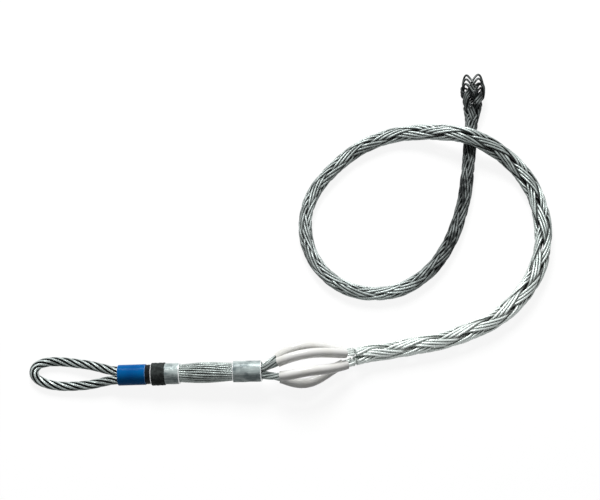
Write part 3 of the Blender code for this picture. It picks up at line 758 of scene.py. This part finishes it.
neck_places = np.linspace(NECK_LENGTH / 2, -NECK_LENGTH / 2, NECK_RINGS)
neck_ridges = np.abs(np.sin(math.pi * NECK_TURNS * (neck_places / NECK_LENGTH + 0.5)))
neck_radii = NECK_RADIUS - NECK_GROOVE * (1 - neck_ridges)
neck_outline = [
    (FERRULE_BORE, NECK_LENGTH / 2),
    *zip(neck_radii, neck_places),
    (FERRULE_BORE, -NECK_LENGTH / 2),
]
neck_black = patchy_material(
    "neck_black", NECK_COLOURS, NECK_PATCH_SIZE, NECK_ROUGHNESS, metallic=0.0,
    specular_ior_level=0.08
)
neck = add_turned("neck_cord", neck_outline, head_station("neck_wrap"), NECK_SIDES)
neck.data.materials.append(neck_black)
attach(neck, "root")
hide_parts("neck_wrap")


# Colour sleeve: a short tube of glossy blue plastic pushed over both legs of the eye, which
# tells the grip's size. Its cut rims are lighter where the saw roughened them.
SLEEVE_BORE = 0.00971
SLEEVE_RADIUS = 0.01031
SLEEVE_RIM = 0.0003
SLEEVE_SIDES = 96
BLUE_COLOURS = [(0.002, 0.130, 0.40, 1), (0.002, 0.095, 0.33, 1)]
BLUE_PATCH_SIZE = 0.02
BLUE_ROUGHNESS = (0.16, 0.28)
CUT_COLOURS = [(0.10, 0.32, 0.72, 1), (0.35, 0.55, 0.85, 1)]
CUT_PATCH_SIZE = 0.002
CUT_ROUGHNESS = (0.5, 0.7)

blue_gloss = patchy_material(
    "blue_gloss", BLUE_COLOURS, BLUE_PATCH_SIZE, BLUE_ROUGHNESS, metallic=0.0,
    specular_ior_level=0.03
)
cut_blue = patchy_material("cut_blue", CUT_COLOURS, CUT_PATCH_SIZE, CUT_ROUGHNESS, metallic=0.0)
sleeve_outline = tube_outline(SLEEVE_BORE, SLEEVE_RADIUS, SLEEVE_LENGTH, SLEEVE_RIM)
blue_sleeve = add_turned("blue_sleeve", sleeve_outline, SLEEVE_AT, SLEEVE_SIDES)
coat_tube(blue_sleeve, "colour_sleeve", SLEEVE_LENGTH, SLEEVE_RIM, blue_gloss, cut_blue)
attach(blue_sleeve, "root")
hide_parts("colour_sleeve")


# Mesh and legs: twelve strands of zinc-coated wire. Each comes out of the rear ferrule in one of
# four legs, winds along the mesh in a band of three, turns back in a loop at the mouth and
# returns to another leg. The bands that wind one way pass over and under the others.
STRAND_RADIUS = 0.00118
STRAND_SIDES = 8
BAND_STRANDS = 3
BAND_PLACES = (-1, 0, 1)
BAND_FULL = 0.88
BANDS = 4
LEG_LAY = 0.080
LEG_BOWS = np.array((0.0175, 0.0175, 0.0175, 0.0200))
LEG_BOW_EARLINESS = 0.885
LEG_BOW_SHARPNESS = 1.6
LEG_NEST_RADIUS = 0.00522
LEG_ANGLES = np.radians((23, 81, 140, 223))
LEG_END_TURN = math.radians(-9)
LEG_SLEEVE_RADIUS = 0.00486
LEG_BLOCK_LENGTH = 0.018
LEG_CIRCLE_STEP = 60
LEG_RINGS = 56
LEG_RUN = 0.34
MESH_HEAD_RADIUS = 0.0093
MESH_TAIL_RADIUS = 0.0072
MESH_MOUTH_RADIUS = 0.0138
MESH_TAPER_START = 0.36
MESH_TAPER_END = 0.64
ROW_PITCH = 0.0280
MOUTH_LENGTH = 0.062
MOUTH_ROWS = 4
MOUTH_OPEN_AT = 0.7
MOUTH_DRAW_IN = 0.15
CROSSING_LIFT = 0.0150
BASKET_PLACE = (0.0034, -0.1684)
BASKET_LIFT = 0.0032
ROUTE = [
    (0.0574, -0.1551, 0.22), (0.0734, -0.1498, 0.04), (0.0989, -0.1454, 0.0),
    (0.1241, -0.1404, 0.0), (0.1499, -0.1342, 0.0), (0.1752, -0.1248, 0.0),
    (0.2010, -0.1111, 0.0), (0.2215, -0.0937, 0.0), (0.2385, -0.0717, 0.0),
    (0.2507, -0.0467, 0.0), (0.2573, -0.0183, 0.0), (0.2579, 0.0119, 0.0),
    (0.2507, 0.0449, 0.02), (0.2345, 0.0731, 0.16), (0.2101, 0.0922, 0.62),
    (0.1846, 0.1032, 1.0), (0.1553, 0.1120, 0.62), (0.1286, 0.1166, 0.16),
    (0.1021, 0.1137, 0.02), (0.0759, 0.1027, 0.0), (0.0550, 0.0876, 0.0),
    (0.0340, 0.0655, 0.0), (0.0186, 0.0428, 0.0), (0.0098, 0.0169, 0.0),
    (0.0090, -0.0108, 0.0), (0.0147, -0.0343, 0.0), (0.0265, -0.0547, 0.0),
    (0.0441, -0.0709, 0.0), (0.0648, -0.0794, 0.0), (0.0851, -0.0807, 0.0),
    (0.1050, -0.0766, 0.0), (0.1240, -0.0656, 0.0), (0.1414, -0.0493, 0.0),
    (0.1561, -0.0268, 0.0), (0.1675, -0.0012, 0.0), (0.1775, 0.0327, 0.0),
    (0.1829, 0.0643, 0.0), (0.1863, 0.0900, 0.0), (0.1889, 0.1135, 0.0),
    (0.1916, 0.1354, 0.0), (0.1931, 0.1528, 0.0), (0.1942, 0.1711, 0.0),
    (0.1954, 0.1903, 0.0),
]
RINGS_PER_ROW = 10
CROSSING_SHARPNESS = 3.0
LOOP_ROUND = 0.40
LOOP_GAP = 0.05
LOOP_RINGS = 9
LOOP_ROWS = 0.5
LOOP_SPLAY = 1.35
LOOP_SPLAY_ROWS = 1.5
LOOP_FLAT_FROM = 0.75
LOOP_FLAT_TO = 0.25
# Painted light and shade: lit crests, shaded flanks, and grooves dark with grease and shade. Along
# the grip the stops also paint lighter and darker stretches, and darken the mesh as painted shade
# from four fifths of its length to the mouth.
MESH_LIT_CRESTS = [
    (0.00, (0.92, 0.99, 0.96)), (0.14, (0.91, 0.98, 0.95)), (0.24, (0.68, 0.76, 0.73)),
    (0.36, (0.58, 0.65, 0.63)), (0.42, (0.78, 0.86, 0.84)), (0.50, (0.50, 0.56, 0.54)),
    (0.62, (0.46, 0.51, 0.50)), (0.72, (0.66, 0.74, 0.72)), (0.78, (0.26, 0.287, 0.282)),
    (0.94, (0.21, 0.232, 0.227)),
]
MESH_SHADED_FLANKS = [
    (0.00, (0.91, 0.98, 0.95)), (0.14, (0.78, 0.85, 0.82)), (0.24, (0.17, 0.19, 0.185)),
    (0.36, (0.12, 0.135, 0.13)), (0.42, (0.34, 0.38, 0.37)), (0.50, (0.085, 0.096, 0.093)),
    (0.62, (0.065, 0.074, 0.072)), (0.72, (0.24, 0.27, 0.26)), (0.78, (0.008, 0.010, 0.010)),
]
MESH_GREASE_AND_SHADE = [
    (0.00, (0.60, 0.65, 0.62)), (0.12, (0.40, 0.43, 0.41)), (0.24, (0.045, 0.051, 0.049)),
    (0.70, (0.045, 0.051, 0.049)), (0.78, (0.006, 0.008, 0.008)),
]
MESH_WIRE_PITCH = 0.016
MESH_LIT_DEPTH = (0.48, 0.86)
CORD_STEP = 0.004


def mesh_radius(distance, length):
    """Radius over the mesh's crests, at a distance from its start."""
    taper = smoothstep(MESH_TAPER_START, MESH_TAPER_END, distance)
    radius = MESH_HEAD_RADIUS + (MESH_TAIL_RADIUS - MESH_HEAD_RADIUS) * taper
    into_mouth = (distance - (length - MOUTH_LENGTH)) / MOUTH_LENGTH
    opening = smoothstep(0.0, MOUTH_OPEN_AT, into_mouth)
    opening = opening - MOUTH_DRAW_IN * smoothstep(MOUTH_OPEN_AT, 1.0, into_mouth)
    return radius + (MESH_MOUTH_RADIUS - MESH_TAIL_RADIUS) * opening


def make_spine():
    """Centreline from inside the rear ferrule through the basket to the mouth. The route gives
    places on the floor, and the share of the lift over the crossing at each."""
    places = np.array(ROUTE)
    gaps = np.linalg.norm(np.diff(places[:, :2], axis=0), axis=1)
    reaches = np.concatenate([[0.0], np.cumsum(gaps)])
    heights = mesh_radius(reaches, reaches[-1]) + places[:, 2] * CROSSING_LIFT
    route = np.column_stack([places[:, :2], heights])
    droop = max(-LEG_BOWS * np.sin(LEG_ANGLES))
    basket = np.array((*BASKET_PLACE, droop + LEG_SLEEVE_RADIUS + BASKET_LIFT))
    inside = [
        head_point(station)
        for station in (REAR_FERRULE_AT, REAR_FERRULE_AT / 2, 0.0, -REAR_FERRULE_AT / 3)
    ]
    line = Line([*inside, basket, *route], HEAD_SIDE)
    early = line.along < line.length / 4
    near = np.linalg.norm(line.points[early] - route[0], axis=1)
    return line, float(line.along[np.argmin(near)])


spine, mesh_start = make_spine()
mesh_length = spine.length - mesh_start
main_rows = round((mesh_length - MOUTH_LENGTH) / ROW_PITCH)
row_pitch = (mesh_length - MOUTH_LENGTH) / main_rows
mouth_pitch = MOUTH_LENGTH / (MOUTH_ROWS + LOOP_ROWS)
last_row = main_rows + MOUTH_ROWS
leg_leave = REAR_FERRULE_AT


def row_station(rows):
    """Station of the spine at a level of the weave, counted in rows of crossings."""
    rows = np.asarray(rows, float)
    beyond = np.maximum(0.0, rows - main_rows)
    return mesh_start + row_pitch * np.minimum(rows, main_rows) + mouth_pitch * beyond


def band_share(rows):
    """Width of a band of strands beside the distance between bands."""
    crest = mesh_radius(row_station(rows) - mesh_start, mesh_length)
    across = math.tau * (crest - 2 * STRAND_RADIUS) / BANDS
    lengthwise = 2 * (row_station(rows + 0.5) - row_station(rows - 0.5))
    slant = np.arctan2(across, lengthwise)
    return np.minimum(BAND_FULL, 2 * BAND_STRANDS * STRAND_RADIUS / (across * np.cos(slant)))


def leg_rows(k, stations):
    """Centres of a leg, and the directions out of the grip and round it there."""
    share = np.clip((stations - leg_leave) / (mesh_start - leg_leave), 0.0, 1.0)
    bow = np.sin(math.pi * share ** LEG_BOW_EARLINESS) ** LEG_BOW_SHARPNESS
    seat = mesh_radius(0.0, mesh_length) - 2 * STRAND_RADIUS
    base = LEG_NEST_RADIUS + (seat - LEG_NEST_RADIUS) * share
    even = LEG_END_TURN + math.tau * k / BANDS
    angles = even + (LEG_ANGLES[k] - even) * bow
    points, outward = spine.outward(stations, angles)
    centres = points + (base + (LEG_BOWS[k] - base) * bow)[:, None] * outward
    tangents = unit(np.gradient(centres, axis=0))
    outward = unit(outward - tangents * np.sum(outward * tangents, axis=1, keepdims=True))
    return centres, outward, np.cross(tangents, outward)


def leg_run(k, place, winds_left):
    """One strand's way along a leg: six lie in a twisted circle, then in two rows of three."""
    stations = np.linspace(0.0, mesh_start, LEG_RINGS)[:-1]
    centres, outward, sideways = leg_rows(k, stations)
    side, layer, middle_angle = (place, 1, 90) if winds_left else (-place, -1, 270)
    angles = np.radians(middle_angle - LEG_CIRCLE_STEP * side)
    angles = angles - math.tau * (mesh_start - stations) / LEG_LAY
    circle = 2 * STRAND_RADIUS * np.stack([np.cos(angles), np.sin(angles)], axis=1)
    block = STRAND_RADIUS * np.array([2.0 * side, layer])
    settle = smoothstep(mesh_start - LEG_BLOCK_LENGTH, mesh_start, stations)[:, None]
    offsets = circle * (1 - settle) + block * settle
    along = centres + offsets[:, :1] * sideways + offsets[:, 1:] * outward
    out = unit(offsets[:, :1] * sideways + offsets[:, 1:] * outward)
    return along, unit(out * (1 - settle) + outward * settle), stations


def weave_run(i, place):
    """One strand's way through the weave, from leg i to the loop at the mouth and back: its
    centres, the directions out of the mesh and the stations along the spine. Places u and v
    count bands along the two ways that the bands wind, and their difference is the row."""
    far = i - last_row
    rows = np.linspace(0.0, last_row, RINGS_PER_ROW * last_row + 1)
    shift = place * band_share(rows) / BAND_STRANDS
    splay = smoothstep(last_row - LOOP_SPLAY_ROWS, last_row, rows)
    shift = shift * (1 + (LOOP_SPLAY - 1) * splay)
    tip = shift[-1]
    u, v = i + tip, far - tip
    go = rows < last_row + 2 * tip - LOOP_ROUND - LOOP_GAP
    out_u, out_v = i + shift[go], i + shift[go] - rows[go]
    back_u, back_v = (far - shift[go] + rows[go])[::-1], (far - shift[go])[::-1]
    turns = np.linspace(0.0, math.pi / 2, LOOP_RINGS)
    turn_u = u - LOOP_ROUND * (1 - np.cos(turns))
    turn_v = v + LOOP_ROUND * (1 - np.sin(turns))
    all_u = np.concatenate([out_u, turn_u, back_u])
    all_v = np.concatenate([out_v, turn_v, back_v])
    levels = all_u - all_v
    all_shift = np.interp(levels, rows, shift)
    over = np.tanh(CROSSING_SHARPNESS * np.cos(math.pi * (levels - all_shift)))
    over = over / math.tanh(CROSSING_SHARPNESS)
    turning = np.linspace(1, -1, LOOP_RINGS)
    going = np.concatenate([np.ones(len(out_u)), turning, -np.ones(len(out_u))])
    flat = 1 - smoothstep(last_row - LOOP_FLAT_FROM, last_row - LOOP_FLAT_TO, levels)
    stations = row_station(levels)
    crest = mesh_radius(stations - mesh_start, mesh_length)
    radius = crest - 2 * STRAND_RADIUS + STRAND_RADIUS * over * going * flat
    angles = LEG_END_TURN + math.pi * (all_u + all_v) / BANDS
    points, outward = spine.outward(stations, angles)
    return points + radius[:, None] * outward, outward, stations


mesh_wire = steel_wire(
    "mesh_wire", MESH_LIT_CRESTS, MESH_SHADED_FLANKS, MESH_WIRE_PITCH, MESH_LIT_DEPTH, WIRE_RELIEF,
    MESH_GREASE_AND_SHADE
)


def mesh_depth(rings, stations):
    """Depth in the mesh's wall, from 0 inside to 1 on its crests, for rings at stations."""
    crest = mesh_radius(stations - mesh_start, mesh_length)[:, None]
    out = np.linalg.norm(rings - spine.at(stations)[0][:, None], axis=2)
    return np.clip(1 - (crest - out) / (4 * STRAND_RADIUS), 0.0, 1.0)


woven = []
for i in range(BANDS):
    for place in BAND_PLACES:
        centres, outward, stations = weave_run(i, place)
        rings = round_wire(centres, outward, STRAND_RADIUS, STRAND_SIDES)
        run = (stations - mesh_start) / mesh_length
        woven.append((rings, centres, mesh_depth(rings, stations), run))
mesh = add_wires("woven_mesh", woven)
mesh.data.materials.append(mesh_wire)
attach(mesh, "root")
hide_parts("mesh_front", "mesh_back", "mesh_mouth")
mesh_line = spine.at(np.arange(mesh_start, spine.length, CORD_STEP))[0]

for k in range(BANDS):
    leg = []
    for winds_left in (True, False):
        for place in BAND_PLACES:
            centres, outward, stations = leg_run(k, place, winds_left)
            rings = round_wire(centres, outward, STRAND_RADIUS, STRAND_SIDES)
            out = np.linalg.norm(rings - leg_rows(k, stations)[0][:, None], axis=2)
            depth = np.clip(out / (3 * STRAND_RADIUS), 0.0, 1.0)
            leg.append((rings, centres, depth, LEG_RUN * (1 - stations / mesh_start)))
    made = add_wires(f"leg_{k + 1}_wires", leg)
    made.data.materials.append(mesh_wire)
    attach(made, "root")
    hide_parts(f"leg_strands_{k + 1}")


# Leg sleeves: a length of milky clear hose over each leg, which keeps its strands together and
# spares the pulled cable. Glossy and so cloudy that little shows through, with square-cut ends.
LEG_SLEEVE_WALL = 0.0006
LEG_SLEEVE_START = 0.0175
LEG_SLEEVE_SETBACK = 0.0110
HOSE_SIDES = 28
HOSE_RINGS = 48
HOSE_COLOURS = [(0.98, 0.98, 0.96, 1), (0.92, 0.915, 0.87, 1)]
HOSE_PATCH_SIZE = 0.02
HOSE_ROUGHNESS = (0.12, 0.26)

hose_clear = patchy_material(
    "hose_clear", HOSE_COLOURS, HOSE_PATCH_SIZE, HOSE_ROUGHNESS, metallic=0.0, ior=1.45,
    transmission_weight=0.05
)
hose_start = leg_leave + LEG_SLEEVE_START
hose_stations = np.linspace(hose_start, mesh_start - LEG_SLEEVE_SETBACK, HOSE_RINGS)
for k in range(BANDS):
    centres, outward, _ = leg_rows(k, hose_stations)
    outer = round_wire(centres, outward, LEG_SLEEVE_RADIUS, HOSE_SIDES)
    inner = round_wire(centres, outward, LEG_SLEEVE_RADIUS - LEG_SLEEVE_WALL, HOSE_SIDES)
    hose = add_shell(f"hose_{k + 1}", np.concatenate([outer, inner[::-1]]))
    hose.data.materials.append(hose_clear)
    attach(hose, "root")
    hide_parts(f"leg_sleeve_{k + 1}")


# Floor and light: a white floor that fades into a white surround, a large soft lamp above and
# behind the grip and a weaker one on the near side.
FLOOR_SIZE = 8.0
FLOOR_DROP = 0.0002
FLOOR_GLOW = 0.89
FLOOR_BOUNCE = (0.12, 0.12, 0.12, 1)
FLOOR_SEEN = (0.13, 0.13, 0.13, 1)
SURROUND_LEVEL = 0.10
WHITE = (1.0, 1.0, 1.0, 1.0)
LAMP_SIZE = 1.0
HIGH_LAMP_PLACE = (-0.2, 1.40, 1.70)
HIGH_LAMP_POWER = 60
NEAR_LAMP_PLACE = (0.9, -1.2, 1.4)
NEAR_LAMP_POWER = 2.5


def seen_rays(tree):
    """1 for rays that show the background, straight or in gloss and glass, and 0 for the rest."""
    rays = put(tree, "LightPath").outputs
    mirrored = reckon(tree, "MAXIMUM", rays["Is Glossy Ray"], rays["Is Transmission Ray"])
    return reckon(tree, "MAXIMUM", rays["Is Camera Ray"], mirrored)


bpy.ops.mesh.primitive_plane_add(size=FLOOR_SIZE, location=(0.0, 0.0, -FLOOR_DROP))
floor = bpy.context.object
floor.name = "floor"
floor_white, tree, shader = start_material("floor_white", roughness=0.9, specular_ior_level=0.0)
seen = seen_rays(tree)
tree.links.new(mix(tree, seen, FLOOR_BOUNCE, FLOOR_SEEN), shader.inputs["Base Color"])
shader.inputs["Emission Color"].default_value = WHITE
glow = reckon(tree, "MULTIPLY", seen, FLOOR_GLOW)
tree.links.new(glow, shader.inputs["Emission Strength"])
floor.data.materials.append(floor_white)

world = bpy.data.worlds.new("surround")
bpy.context.scene.world = world
world.use_nodes = True
tree = world.node_tree
level = ramp(tree, seen_rays(tree), 0.0, 1.0, SURROUND_LEVEL, 1.0)
tree.links.new(level, tree.nodes["Background"].inputs["Strength"])
tree.nodes["Background"].inputs["Color"].default_value = WHITE


def add_lamp(name, place, power):
    """Soft square lamp that faces the grip."""
    lamp = bpy.data.lights.new(name, "AREA")
    lamp.size = LAMP_SIZE
    lamp.energy = power
    made = bpy.data.objects.new(name, lamp)
    made.location = place
    made.rotation_mode = "QUATERNION"
    made.rotation_quaternion = (-Vector(place)).to_track_quat("-Z", "Y")
    bpy.context.scene.collection.objects.link(made)


add_lamp("high_lamp", HIGH_LAMP_PLACE, HIGH_LAMP_POWER)
add_lamp("near_lamp", NEAR_LAMP_PLACE, NEAR_LAMP_POWER)
